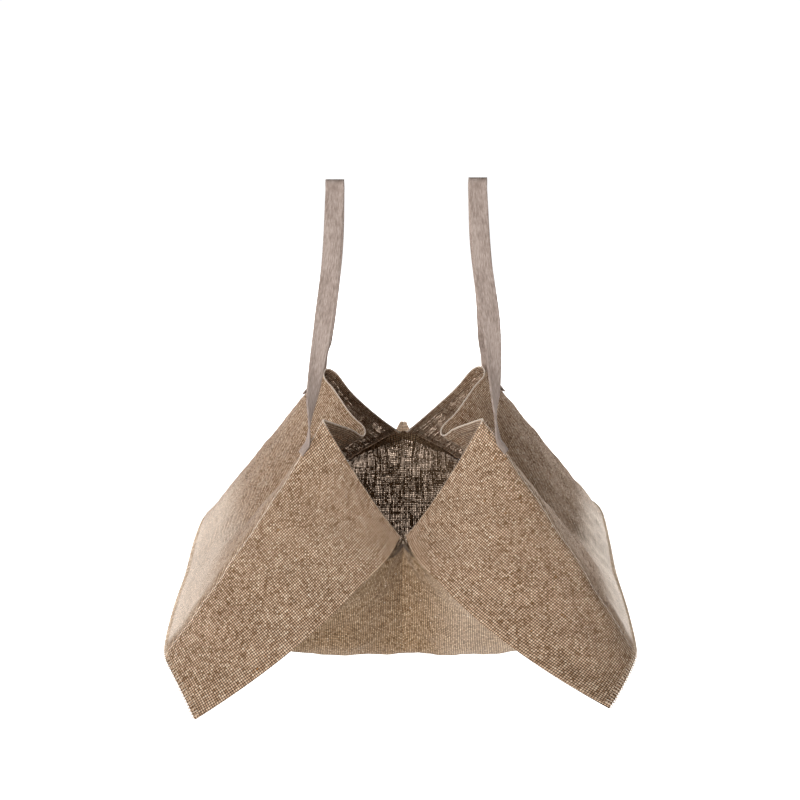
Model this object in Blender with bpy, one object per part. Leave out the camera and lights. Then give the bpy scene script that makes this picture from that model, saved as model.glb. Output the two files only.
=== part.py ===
"""Cake carrier bag of plain woven linen, hanging by its two strap loops.

A square base panel and two half-width flap panels are sewn together along the left and right
side edges. The flap corners are tacked to the middle of the base panel's front and back hems.
Each flap is lifted by a strap loop on two ridges and sinks into a valley between them.
World axes: X to the right, Y to the back, Z up. All table lengths are in millimetres.
"""
from collections import namedtuple
from math import cos, exp, pi, radians, sin

import bpy
from mathutils import Vector

MM = 0.001

# Cloth sizes
PANEL_DEPTH = 550.0
CLOTH_THICK = 1.6
SEAM_GAP = 0.35

# Lap of the hems: the flap hems lie over the base hems, and each base hem reaches behind the
# flap hem by BASE_LAP from LAP_INNER to LAP_OUTER, as shares of the way from middle to edge
HEM_LAP = 32.0
HEM_MIDDLE = 0.1
BASE_LAP = 5.0
FRONT_LAP_INNER = 0.07
BACK_LAP_INNER = 0.0
LAP_RISE = 0.05
LAP_OUTER = 0.34
LAP_FALL = 0.12

# Strap sizes
STRAP_WIDTH = 20.0
STRAP_THICK = 1.8
STRAP_GAP = 0.8

# Mesh steps
PANEL_STEPS = 10
CREASE_CROWDING = 0.55
FLAP_STEPS = 18
BASE_STEPS_ACROSS = 40
BASE_STEPS_DEEP = 46
STRAP_STEP = 12.0
STRAP_STEPS_MIN = 2
STRAP_STEPS_MAX = 6
FACE_STEP = 0.02

# Rounding of the folds, as half-widths along the cloth at the rim and at the side edge. It
# grows with a power of the way from rim to edge. place counts the four panels of a flap from
# the front hem.
FoldRound = namedtuple("FoldRound", "place rim edge")
FOLD_ROUNDS = (
    FoldRound(0.0, 7.0, 24.0),
    FoldRound(1.0, 7.0, 24.0),
    FoldRound(2.0, 12.0, 34.0),
    FoldRound(3.0, 16.0, 34.0),
    FoldRound(4.0, 16.0, 34.0),
)
ROUND_SPREAD = 2
ROUND_WEIGHTS = ((-1.0, 1.0), (-0.5, 4.0), (0.0, 6.0), (0.5, 4.0), (1.0, 1.0))

# Open loops that the stiff cloth makes at the left rim: place is the fold, swell is how far the
# cloth behind the fold stands off, and reach is where along the cloth it does so most. The cloth
# before the fold stands off the other way.
RimLoop = namedtuple("RimLoop", "place swell reach")
RIM_LOOPS = (
    RimLoop(2.0, (1.2, 2.5, 2.0), 13.0),
    RimLoop(3.0, (2.7, 3.0, 3.0), 19.0),
)
LOOP_FADE = 3

# Folds of the left flap from the front hem to the back hem. depth_rim and depth_edge are where
# the fold starts and ends along the cloth; rim, mid and edge are points on it. The right flap is
# the mirror image, with its own points moved by rim_right, mid_right and edge_right.
Fold = namedtuple("Fold", "name depth_rim depth_edge rim mid edge rim_right mid_right edge_right")
FOLDS = (
    Fold("front hem", 0, 0, (-5, -123, 140), (-92, -203, 73), (-212, -266, 7),
         (0, 0, 0), (-11, 8, 5), (-2, 2, 12)),
    Fold("front panel", 75, 38, (-45, -113, 198), (-131, -181, 115), (-231, -239, 28),
         (1, 6, -2), (-3, 6, 3), (-1, 6, 2)),
    Fold("front ridge", 150, 73, (-86, -96, 266), (-168, -151, 148), (-251, -207, 43),
         (0, 5, -1), (3, 4, 1), (-4, 8, -4)),
    Fold("front slope", 212, 180, (-69, -42, 235), (-168, -74, 138), (-258, -104, 35),
         (0, 6, -1), (1, 7, 1), (-5, 7, -3)),
    Fold("valley", 270, 275, (-41, 4, 204), (-152, -3, 113), (-259, -10, 27),
         (0, 5, -2), (-1, 6, -2), (-4, 7, -3)),
    Fold("back slope", 335, 370, (-75, 60, 227), (-173, 72, 127), (-264, 84, 22),
         (2, 3, 2), (0, 5, 0), (-2, 7, -2)),
    Fold("back ridge", 395, 465, (-97, 112, 249), (-180, 145, 130), (-264, 177, 15),
         (3, 2, 2), (2, 5, 3), (2, 9, 5)),
    Fold("back panel", 472, 508, (-52, 140, 189), (-146, 180, 97), (-242, 214, 6),
         (1, 2, 5), (2, 6, 3), (3, 10, 5)),
    Fold("back hem", 550, 550, (-5, 162, 138), (-108, 208, 60), (-222, 250, -3),
         (0, 0, 0), (1, 4, 2), (2, 9, 4)),
)

# Cross lines of the base panel, from front to back. Each pair is y and z at the middle and at a
# quarter, a half and three quarters of the way to the side edge.
BaseLine = namedtuple("BaseLine", "depth middle quarter half three_quarter")
BASE_LINES = (
    BaseLine(40, (-116, 98), (-163, 84), (-183, 80), (-203, 56)),
    BaseLine(85, (-107, 53), (-148, 46), (-156, 49), (-180, 46)),
    BaseLine(130, (-99, 10), (-133, 4), (-139, 10), (-147, 19)),
    BaseLine(170, (-95, -25), (-107, -20), (-110, -12), (-110, 7)),
    BaseLine(220, (-60, -41), (-61, -35), (-61, -26), (-62, -6)),
    BaseLine(275, (-5, -41), (-6, -38), (-7, -30), (-7, -15)),
    BaseLine(330, (49, -39), (49, -36), (48, -29), (48, -17)),
    BaseLine(380, (94, -21), (95, -18), (96, -15), (97, -10)),
    BaseLine(420, (106, 17), (124, 9), (126, 10), (131, 9)),
    BaseLine(465, (125, 58), (146, 48), (147, 45), (156, 32)),
    BaseLine(510, (144, 99), (168, 87), (174, 72), (190, 38)),
)

# Free length of the left strap loop from the front ridge over the top to the back ridge, as the
# middle of the tape. turn is how far its left edge has swung towards the front, in degrees. The
# right loop's middle is the mirror image moved by right, and it turns by turn_right.
StrapKnot = namedtuple("StrapKnot", "name middle turn right turn_right")
STRAP_KNOTS = (
    StrapKnot("front twist", (-99, -96, 268), 68, (0, 5, -1), 82),
    StrapKnot("front low", (-96, -84, 293), 42, (3, 3, 0), 54),
    StrapKnot("front half", (-85.5, -56, 359), 6, (9, 1, 0), 16),
    StrapKnot("front high", (-77, -29, 422), 0, (8, 0, 1), 2),
    StrapKnot("front top", (-73.3, 2.5, 490), 0, (7, 0, 2), 0),
    StrapKnot("fold front", (-73.3, 5.6, 498.5), 0, (7, 0, 2), 0),
    StrapKnot("fold", (-73.3, 9, 501.3), 0, (7, 0, 2), 0),
    StrapKnot("fold back", (-73.3, 12.4, 498.5), 0, (7, 0, 2), 0),
    StrapKnot("back top", (-73.3, 15.5, 490), 0, (7, 0, 2), 0),
    StrapKnot("back high", (-77, 42, 422), 0, (8, 0, 1), 0),
    StrapKnot("back half", (-85.5, 70, 352), 4, (9, 1, 0), -4),
    StrapKnot("back low", (-95.5, 101, 285), 22, (5, 2, 0), -22),
    StrapKnot("back twist", (-98, 122, 259), 62, (3, 3, 0), -62),
)
# Sewn strap ends: how far down the ridge, as shares of the flap, and how far from the ridge.
FRONT_RIDGE = 1.0
BACK_RIDGE = 3.0
STRAP_SEWN_SHARES = (0.165, 0.13, 0.09)
STRAP_SEWN_START = 1.5
STRAP_COLUMNS = (0.0, 0.25, 0.5, 0.75, 1.0)

# Top of the left strap loop, which is the origin of the finished bag
HANG_POINT = Vector((-73.3, 9.0, 501.3))

# Turned-up tab at the middle of the back hem
TAB_WIDTH_LOW = 17.0
TAB_WIDTH_HIGH = 10.0
TAB_LOW = 133.0
TAB_HIGH = 152.0
TAB_FRONT = 167.5
TAB_THICK = 2.4


def quadratic(start, middle, end, share):
    """Return the point at a share from 0 to 1 of the parabola through three points."""
    first = (1.0 - share) * (1.0 - 2.0 * share)
    second = 4.0 * share * (1.0 - share)
    third = share * (2.0 * share - 1.0)
    return start * first + middle * second + end * third


def hermite(knots, points, place):
    """Return the smooth curve through points at their knots, read at a place between them."""
    last = len(knots) - 1
    span = 0
    while span < last - 1 and place > knots[span + 1]:
        span += 1

    def slope(index):
        low = max(index - 1, 0)
        high = min(index + 1, last)
        return (points[high] - points[low]) / (knots[high] - knots[low])

    length = knots[span + 1] - knots[span]
    share = (place - knots[span]) / length
    square = share * share
    cube = square * share
    return (
        points[span] * (2.0 * cube - 3.0 * square + 1.0)
        + slope(span) * (length * (cube - 2.0 * square + share))
        + points[span + 1] * (3.0 * square - 2.0 * cube)
        + slope(span + 1) * (length * (cube - square))
    )


def fold_points(fold, side):
    """Return the rim, middle and edge points of a fold; side is -1 on the left, 1 on the right."""
    rim = Vector(fold.rim)
    mid = Vector(fold.mid)
    edge = Vector(fold.edge)
    if side < 0:
        return rim, mid, edge
    mirror = Vector((-1.0, 1.0, 1.0))
    return (
        rim * mirror + Vector(fold.rim_right),
        mid * mirror + Vector(fold.mid_right),
        edge * mirror + Vector(fold.edge_right),
    )


def raw_flap(side, place, share):
    """Return a flap point; place runs 0 to 4 over the panels, share 0 to 1 from rim to edge."""
    panel = min(int(place), 3)
    trio = [quadratic(*fold_points(FOLDS[2 * panel + step], side), share) for step in range(3)]
    return quadratic(*trio, place - panel)


def fold_round(place, share):
    """Return the half-width of the rounding at a place over the panels and a share to the edge."""
    index = min(int(place), len(FOLD_ROUNDS) - 2)
    low = FOLD_ROUNDS[index]
    high = FOLD_ROUNDS[index + 1]
    way = (place - low.place) / (high.place - low.place)
    rim = low.rim + (high.rim - low.rim) * way
    edge = low.edge + (high.edge - low.edge) * way
    return rim + (edge - rim) * share ** ROUND_SPREAD


def rim_loop(loop, side, place, share):
    """Return how far an open loop at the rim moves a point."""
    run = (place - loop.place) * PANEL_DEPTH / 4.0 / loop.reach
    fade = (1.0 - share) ** LOOP_FADE
    x, y, z = loop.swell
    return Vector((-side * x, y, z)) * (run * exp(0.5 - 0.5 * run * run) * fade)


def flap_point(side, place, share):
    """Return a flap point with the ridges and the valley rounded and their rim loops opened."""
    width = fold_round(place, share) * 4.0 / PANEL_DEPTH
    width = min(width, place, 4.0 - place)
    total = Vector((0.0, 0.0, 0.0))
    weight_sum = 0.0
    for offset, weight in ROUND_WEIGHTS:
        total += raw_flap(side, place + offset * width, share) * weight
        weight_sum += weight
    total /= weight_sum
    for loop in RIM_LOOPS:
        total += rim_loop(loop, side, place, share)
    return total


def edge_point(side, depth):
    """Return the point of the side edge at a depth along the cloth."""
    index = 0
    while index < len(FOLDS) - 2 and depth > FOLDS[index + 1].depth_edge:
        index += 1
    start = FOLDS[index].depth_edge
    end = FOLDS[index + 1].depth_edge
    place = (index + (depth - start) / (end - start)) / 2.0
    return flap_point(side, place, 1.0)


def hem_point(across, back):
    """Return the point of the base panel's hem; across runs -1 to 1 from left to right.

    The hem laps behind the flap's hem, except at the front corner tack and towards the wings.
    """
    side = -1 if across < 0 else 1
    reach = abs(across)
    inner = BACK_LAP_INNER if back else FRONT_LAP_INNER
    rise = min(max((reach - inner) / LAP_RISE, 0.0), 1.0)
    fall = min(max((LAP_OUTER - reach) / LAP_FALL, 0.0), 1.0)
    place = BASE_LAP * rise * fall * 4.0 / PANEL_DEPTH
    point = flap_point(side, 4.0 - place if back else place, reach)
    point.x *= min(reach / HEM_MIDDLE, 1.0)
    return point


def base_line_point(index, across, side):
    """Return the point of one cross line; index 0 and the last one are the two hems."""
    if index == 0:
        return hem_point(across * side, False)
    if index == len(BASE_LINES) + 1:
        return hem_point(across * side, True)
    line = BASE_LINES[index - 1]
    edge = edge_point(side, line.depth)
    knots = (0.0, 0.25, 0.5, 0.75, 1.0)
    inner = (line.middle, line.quarter, line.half, line.three_quarter)
    points = [Vector((edge.x * knot, *pair)) for knot, pair in zip(knots, inner)]
    points.append(edge)
    return hermite(knots, points, across)


def base_point(across, depth):
    """Return a point of the base panel; across runs -1 to 1, depth counts from the front hem."""
    side = -1 if across < 0 else 1
    knots = [0.0] + [line.depth for line in BASE_LINES] + [PANEL_DEPTH]
    if abs(across) == 1.0:
        return edge_point(side, depth)
    lines = [base_line_point(index, abs(across), side) for index in range(len(knots))]
    return hermite(knots, lines, depth)


def grid_normals(grid):
    """Return the unit normal of every point of a grid of points."""
    normals = []
    for row_index, row in enumerate(grid):
        low_row = grid[max(row_index - 1, 0)]
        high_row = grid[min(row_index + 1, len(grid) - 1)]
        line = []
        for index in range(len(row)):
            along = row[min(index + 1, len(row) - 1)] - row[max(index - 1, 0)]
            across = high_row[index] - low_row[index]
            line.append(along.cross(across).normalized())
        normals.append(line)
    return normals


def new_object(name, vertices, faces, material):
    """Add a mesh object of points in millimetres, measured from the hanging point."""
    mesh = bpy.data.meshes.new(name)
    mesh.from_pydata([(vertex - HANG_POINT) * MM for vertex in vertices], [], faces)
    mesh.materials.append(material)
    mesh.update()
    item = bpy.data.objects.new(name, mesh)
    bpy.context.scene.collection.objects.link(item)
    return item


def sheet_solid(name, grid, inner_offset, thick, material):
    """Make a closed sheet; inner_offset gives the lift of its inner face at each grid point."""
    rows = len(grid)
    columns = len(grid[0])
    normals = grid_normals(grid)
    inner = []
    outer = []
    for row in range(rows):
        for column in range(columns):
            normal = normals[row][column]
            lift = inner_offset(row, column)
            inner.append(grid[row][column] + normal * lift)
            outer.append(grid[row][column] + normal * (lift + thick))
    count = rows * columns
    faces = []
    for row in range(rows - 1):
        for column in range(columns - 1):
            first = row * columns + column
            ring = (first, first + 1, first + columns + 1, first + columns)
            faces.append(tuple(count + corner for corner in ring))
            faces.append(tuple(reversed(ring)))
    border = list(range(columns))
    border += [row * columns + columns - 1 for row in range(1, rows)]
    border += [(rows - 1) * columns + column for column in range(columns - 2, -1, -1)]
    border += [row * columns for row in range(rows - 2, 0, -1)]
    for index, start in enumerate(border):
        end = border[(index + 1) % len(border)]
        faces.append((start, end, count + end, count + start))
    return new_object(name, inner + outer, faces, material)


def build_flap(name, side, material):
    """Make one flap panel, lapped over the base panel's hems."""
    places = []
    for step in range(4 * PANEL_STEPS + 1):
        place = step / PANEL_STEPS
        places.append(place - CREASE_CROWDING * sin(2.0 * pi * place) / (2.0 * pi))
    shares = [step / FLAP_STEPS for step in range(FLAP_STEPS + 1)]
    if side < 0:
        shares.reverse()
    grid = [[flap_point(side, place, share) for share in shares] for place in places]

    def lift(row, column):
        place = places[row]
        hem_distance = min(place, 4.0 - place) * PANEL_DEPTH / 4.0
        lap = max(0.0, 1.0 - hem_distance / HEM_LAP)
        return SEAM_GAP + (CLOTH_THICK + SEAM_GAP) * lap

    return sheet_solid(name, grid, lift, CLOTH_THICK, material)


def build_base(material):
    """Make the base panel, with hems that lap behind the flaps."""
    rows = []
    for step in range(BASE_STEPS_DEEP + 1):
        depth = PANEL_DEPTH * step / BASE_STEPS_DEEP
        row = []
        for column in range(BASE_STEPS_ACROSS, -1, -1):
            across = 2.0 * column / BASE_STEPS_ACROSS - 1.0
            row.append(base_point(across, depth))
        rows.append(row)
    return sheet_solid("base_panel", rows, lambda row, column: 0.0, CLOTH_THICK, material)


def flap_face_point(side, place, share, lift):
    """Return a point lifted off the flap's outer face."""
    low = max(share - FACE_STEP, 0.0)
    high = share + FACE_STEP
    along = flap_point(side, place + FACE_STEP, share) - flap_point(side, place - FACE_STEP, share)
    across = flap_point(side, place, high) - flap_point(side, place, low)
    normal = along.cross(across).normalized() * -side
    return flap_point(side, place, share) + normal * (SEAM_GAP + CLOTH_THICK + lift)


def sewn_row(side, ridge, share):
    """Return the points across a strap end that lies on the slope behind a ridge.

    The right strap's back end is turned over, so that its left edge lies furthest from the ridge.
    """
    lift = STRAP_GAP + STRAP_THICK / 2.0
    row = []
    for column in STRAP_COLUMNS:
        if side > 0 and ridge == BACK_RIDGE:
            column = 1.0 - column
        distance = STRAP_SEWN_START + STRAP_WIDTH * column
        row.append(flap_face_point(side, ridge + distance * 4.0 / PANEL_DEPTH, share, lift))
    return row


def free_row(side, knot):
    """Return the points across the strap at a knot of its free length, from its left edge."""
    middle = Vector(knot.middle)
    turn = radians(knot.turn)
    if side > 0:
        middle = middle * Vector((-1.0, 1.0, 1.0)) + Vector(knot.right)
        turn = radians(knot.turn_right)
    reach = Vector((-cos(turn), -sin(turn), 0.0)) * (STRAP_WIDTH / 2.0)
    return [middle + reach * (1.0 - 2.0 * column) for column in STRAP_COLUMNS]


def build_strap(name, side, material):
    """Make one strap loop, sewn to the front and back ridges of its flap."""
    rows = [sewn_row(side, FRONT_RIDGE, share) for share in STRAP_SEWN_SHARES]
    rows += [free_row(side, knot) for knot in STRAP_KNOTS]
    rows += [sewn_row(side, BACK_RIDGE, share) for share in reversed(STRAP_SEWN_SHARES)]
    columns = [[row[index] for row in rows] for index in range(len(STRAP_COLUMNS))]
    middles = columns[len(columns) // 2]
    knots = [0.0]
    for start, end in zip(middles, middles[1:]):
        knots.append(knots[-1] + (end - start).length)
    places = []
    for start, end in zip(knots, knots[1:]):
        steps = round((end - start) / STRAP_STEP)
        steps = max(STRAP_STEPS_MIN, min(STRAP_STEPS_MAX, steps))
        places += [start + (end - start) * step / steps for step in range(steps)]
    places.append(knots[-1])
    grid = [[hermite(knots, column, place) for column in columns] for place in places]
    return sheet_solid(name, grid, lambda row, column: -STRAP_THICK / 2.0, STRAP_THICK, material)


def build_tab(material):
    """Make the small turned-up tab behind the middle of the back hem."""
    corners = (
        (-TAB_WIDTH_LOW / 2.0, TAB_LOW),
        (TAB_WIDTH_LOW / 2.0, TAB_LOW),
        (TAB_WIDTH_HIGH / 2.0, TAB_HIGH),
        (-TAB_WIDTH_HIGH / 2.0, TAB_HIGH),
    )
    front = [Vector((x, TAB_FRONT, z)) for x, z in corners]
    back = [Vector((x, TAB_FRONT + TAB_THICK, z)) for x, z in corners]
    faces = [(0, 1, 2, 3), (7, 6, 5, 4)]
    for index in range(4):
        following = (index + 1) % 4
        faces.append((following, index, 4 + index, 4 + following))
    return new_object("back_tab", front + back, faces, material)


def new_material(name, colour, roughness):
    """Make a plain Principled material."""
    material = bpy.data.materials.new(name)
    material.use_nodes = True
    shader = material.node_tree.nodes["Principled BSDF"]
    shader.inputs["Base Color"].default_value = (*colour, 1.0)
    shader.inputs["Roughness"].default_value = roughness
    return material


def main():
    """Build the whole bag."""
    for item in list(bpy.data.objects):
        bpy.data.objects.remove(item, do_unlink=True)
    flap_cloth = new_material("flap_linen", (0.45, 0.34, 0.25), 0.9)
    base_cloth = new_material("base_linen", (0.40, 0.30, 0.22), 0.9)
    build_flap("left_flap", -1, flap_cloth)
    build_flap("right_flap", 1, flap_cloth)
    build_base(base_cloth)
    tape = new_material("strap_tape", (0.50, 0.43, 0.37), 0.9)
    build_strap("left_strap", -1, tape)
    build_strap("right_strap", 1, tape)
    build_tab(base_cloth)


main()
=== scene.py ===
"""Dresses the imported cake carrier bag: heavy woven linen, tape straps, sewn edges and a studio.

The bag hangs by its two strap loops. A square base panel and two half-width flaps are sewn
together along the side edges with an overcast stitch. Every sheet follows the folds of its
solid, so the fold tables here repeat the ones that the solids were made from. Table lengths are
in millimetres, and the finished pieces are in metres from the hanging point. A point of a flap is
named by its place, 0 at the front hem and 4 at the back hem with a whole number at each fold, and
by its share, 0 at the rim and 1 at the side edge.
"""
from __future__ import annotations

import logging
import math
from dataclasses import dataclass
from enum import Enum
from typing import Callable, Sequence

import bpy
import numpy as np
from mathutils import Euler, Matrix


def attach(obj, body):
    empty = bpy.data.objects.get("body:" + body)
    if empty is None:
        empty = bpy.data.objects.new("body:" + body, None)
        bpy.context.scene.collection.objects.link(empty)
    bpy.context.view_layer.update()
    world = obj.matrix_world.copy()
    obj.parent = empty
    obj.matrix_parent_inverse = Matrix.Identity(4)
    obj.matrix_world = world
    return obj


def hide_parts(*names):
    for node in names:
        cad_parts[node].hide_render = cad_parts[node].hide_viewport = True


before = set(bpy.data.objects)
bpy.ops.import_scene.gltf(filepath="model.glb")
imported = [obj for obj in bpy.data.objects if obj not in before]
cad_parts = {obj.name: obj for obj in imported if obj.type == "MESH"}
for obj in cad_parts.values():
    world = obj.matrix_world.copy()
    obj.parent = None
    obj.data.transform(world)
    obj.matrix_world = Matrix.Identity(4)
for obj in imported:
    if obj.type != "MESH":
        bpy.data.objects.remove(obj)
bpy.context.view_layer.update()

LOG = logging.getLogger("cake_bag")
MM = 0.001
HANG_POINT = np.array((-73.3, 9.0, 501.3))
PANEL_DEPTH = 550.0
PANELS = 4
PLACE_PER_MM = PANELS / PANEL_DEPTH
FLAP_WIDTH = 280.0
CLOTH_THICK = 1.6
SEAM_GAP = 0.35
HEM_LAP = 32.0
BASE_LAP = 5.0
FRAY_RADIUS = 0.22
Array = np.ndarray
Span = tuple[float, float]
Point = Tint = tuple[float, float, float]
Colour = tuple[float, float, float, float]
Item = bpy.types.Object
Material = bpy.types.Material


class Side(Enum):
    """The left or right half of the bag, as the sign of X."""

    LEFT = -1
    RIGHT = 1


@dataclass(frozen=True)
class Fold:
    """One fold line of a flap from its rim to its side edge.

    The right flap mirrors the left one, with its points moved by the last three fields.
    """

    name: str
    depth_rim: float
    depth_edge: float
    rim: Point
    mid: Point
    edge: Point
    rim_right: Point
    mid_right: Point
    edge_right: Point


FOLDS = (
    Fold("front hem", 0, 0, (-5, -123, 140), (-92, -203, 73), (-212, -266, 7),
         (0, 0, 0), (-11, 8, 5), (-2, 2, 12)),
    Fold("front panel", 75, 38, (-45, -113, 198), (-131, -181, 115), (-231, -239, 28),
         (1, 6, -2), (-3, 6, 3), (-1, 6, 2)),
    Fold("front ridge", 150, 73, (-86, -96, 266), (-168, -151, 148), (-251, -207, 43),
         (0, 5, -1), (3, 4, 1), (-4, 8, -4)),
    Fold("front slope", 212, 180, (-69, -42, 235), (-168, -74, 138), (-258, -104, 35),
         (0, 6, -1), (1, 7, 1), (-5, 7, -3)),
    Fold("valley", 270, 275, (-41, 4, 204), (-152, -3, 113), (-259, -10, 27),
         (0, 5, -2), (-1, 6, -2), (-4, 7, -3)),
    Fold("back slope", 335, 370, (-75, 60, 227), (-173, 72, 127), (-264, 84, 22),
         (2, 3, 2), (0, 5, 0), (-2, 7, -2)),
    Fold("back ridge", 395, 465, (-97, 112, 249), (-180, 145, 130), (-264, 177, 15),
         (3, 2, 2), (2, 5, 3), (2, 9, 5)),
    Fold("back panel", 472, 508, (-52, 140, 189), (-146, 180, 97), (-242, 214, 6),
         (1, 2, 5), (2, 6, 3), (3, 10, 5)),
    Fold("back hem", 550, 550, (-5, 162, 138), (-108, 208, 60), (-222, 250, -3),
         (0, 0, 0), (1, 4, 2), (2, 9, 4)),
)
FOLD_PLACES = {fold.name: row / 2.0 for row, fold in enumerate(FOLDS)}
FRONT_RIDGE = FOLD_PLACES["front ridge"]
VALLEY = FOLD_PLACES["valley"]
BACK_RIDGE = FOLD_PLACES["back ridge"]


# Cross lines of the base panel by their cloth depth, each as y and z at the middle and at the next
# three quarter steps outwards.
BASE_LINES = {
    40: ((-116, 98), (-163, 84), (-183, 80), (-203, 56)),
    85: ((-107, 53), (-148, 46), (-156, 49), (-180, 46)),
    130: ((-99, 10), (-133, 4), (-139, 10), (-147, 19)),
    170: ((-95, -25), (-107, -20), (-110, -12), (-110, 7)),
    220: ((-60, -41), (-61, -35), (-61, -26), (-62, -6)),
    275: ((-5, -41), (-6, -38), (-7, -30), (-7, -15)),
    330: ((49, -39), (49, -36), (48, -29), (48, -17)),
    380: ((94, -21), (95, -18), (96, -15), (97, -10)),
    420: ((106, 17), (124, 9), (126, 10), (131, 9)),
    465: ((125, 58), (146, 48), (147, 45), (156, 32)),
    510: ((144, 99), (168, 87), (174, 72), (190, 38)),
}


@dataclass(frozen=True)
class StrapKnot:
    """One knot of a strap loop's free length, with how far its left edge has swung forward.

    The right loop's middle mirrors the left one, moved by right, and it turns by turn_right. The
    tape is gathered to a share of its width.
    """

    middle: Point
    turn: float
    right: Point
    turn_right: float
    gather: float = 1.0


# From the front ridge up to the fold at the top, and down to the back ridge.
STRAP_KNOTS = (
    StrapKnot((-99, -96, 268), 78, (0, 5, -1), 82, 0.62),
    StrapKnot((-96, -84, 293), 46, (3, 3, 0), 54, 0.9),
    StrapKnot((-85.5, -56, 359), 6, (9, 1, 0), 16),
    StrapKnot((-77, -29, 422), 0, (8, 0, 1), 2),
    StrapKnot((-73.3, 2.5, 490), 0, (7, 0, 2), 0),
    StrapKnot((-73.3, 5.6, 498.5), 0, (7, 0, 2), 0),
    StrapKnot((-73.3, 9, 501.3), 0, (7, 0, 2), 0),
    StrapKnot((-73.3, 12.4, 498.5), 0, (7, 0, 2), 0),
    StrapKnot((-73.3, 15.5, 490), 0, (7, 0, 2), 0),
    StrapKnot((-77, 42, 422), 0, (8, 0, 1), 0),
    StrapKnot((-85.5, 70, 352), 4, (9, 1, 0), -4),
    StrapKnot((-95.5, 101, 285), 22, (5, 2, 0), -22),
    StrapKnot((-98, 122, 259), 62, (3, 3, 0), -62),
)


# Curves and surfaces


def unit(vectors: Array) -> Array:
    """Returns the vectors at length one."""
    return vectors / np.maximum(np.linalg.norm(vectors, axis=-1, keepdims=True), 1e-9)


def parabola_weights(share: Array) -> list[Array]:
    """Returns the weights of the start, middle and end points of a parabola.

    Args:
        share: Places along it, from 0 to 1.

    Returns:
        The three weights, each as an array like share.
    """
    return [(1 - share) * (1 - 2 * share), 4 * share * (1 - share), share * (2 * share - 1)]


def hermite(knots: Sequence[float], points: Array, place: Array) -> Array:
    """Reads smooth curves through points.

    Args:
        knots: The place of each point along the curves.
        points: Point coordinates, with the knots on the axis before the last.
        place: Where to read, one value for each curve, or one curve for many values.

    Returns:
        One point for each place.
    """
    at = np.asarray(knots, float)
    last = len(at) - 1
    span = np.clip(np.searchsorted(at, place, side="left") - 1, 0, last - 1)
    low = np.maximum(np.arange(last + 1) - 1, 0)
    high = np.minimum(np.arange(last + 1) + 1, last)
    slopes = (points[..., high, :] - points[..., low, :]) / (at[high] - at[low])[:, None]
    length = (at[span + 1] - at[span])[..., None]
    share = (place - at[span])[..., None] / length

    def pick(values: Array, index: Array) -> Array:
        """Returns the value at an index of the knot axis."""
        if values.ndim == 2:
            return values[index]
        return np.take_along_axis(values, index[..., None, None], axis=-2)[..., 0, :]

    square, cube = share**2, share**3
    return (
        pick(points, span) * (2 * cube - 3 * square + 1)
        + pick(slopes, span) * length * (cube - 2 * square + share)
        + pick(points, span + 1) * (3 * square - 2 * cube)
        + pick(slopes, span + 1) * length * (cube - square)
    )


def smooth(value: Array, low: float, high: float) -> Array:
    """Rises smoothly from 0 at low to 1 at high."""
    share = np.clip((value - low) / (high - low), 0, 1)
    return share * share * (3 - 2 * share)


def run_lengths(line: Array) -> Array:
    """Returns how far along a line each of its points lies."""
    return np.concatenate(((0.0,), np.cumsum(np.linalg.norm(np.diff(line, axis=0), axis=1))))


# Height, wavelength, direction in degrees and phase.
CLOTH_WAVES = (
    (0.55, 61.0, 20.0, 0.4),
    (0.45, 43.0, 112.0, 1.9),
    (0.30, 29.0, 64.0, 3.3),
    (0.22, 19.0, 148.0, 5.1),
)


def ripple(across: Array, depth: Array) -> Array:
    """Returns the height of gentle waves over the cloth, in millimetres.

    Args:
        across: Cloth coordinate from left to right.
        depth: Cloth coordinate from front to back.

    Returns:
        The heights.
    """
    total = np.zeros(np.broadcast(across, depth).shape)
    for height, length, direction, phase in CLOTH_WAVES:
        angle = math.radians(direction)
        run = (across * math.cos(angle) + depth * math.sin(angle)) / length
        total += height * np.sin(2 * math.pi * run + phase)
    return total


@dataclass(frozen=True)
class RimLoop:
    """An open loop at the left rim where the stiff cloth folds over.

    The cloth behind the fold stands off by swell, the cloth before it the other way, and most
    so at reach along the cloth.
    """

    place: float
    swell: Point
    reach: float


RIM_LOOPS = (
    RimLoop(VALLEY, (1.2, 2.5, 2.0), 13.0),
    RimLoop(BACK_RIDGE, (2.7, 3.0, 3.0), 19.0),
)


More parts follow.
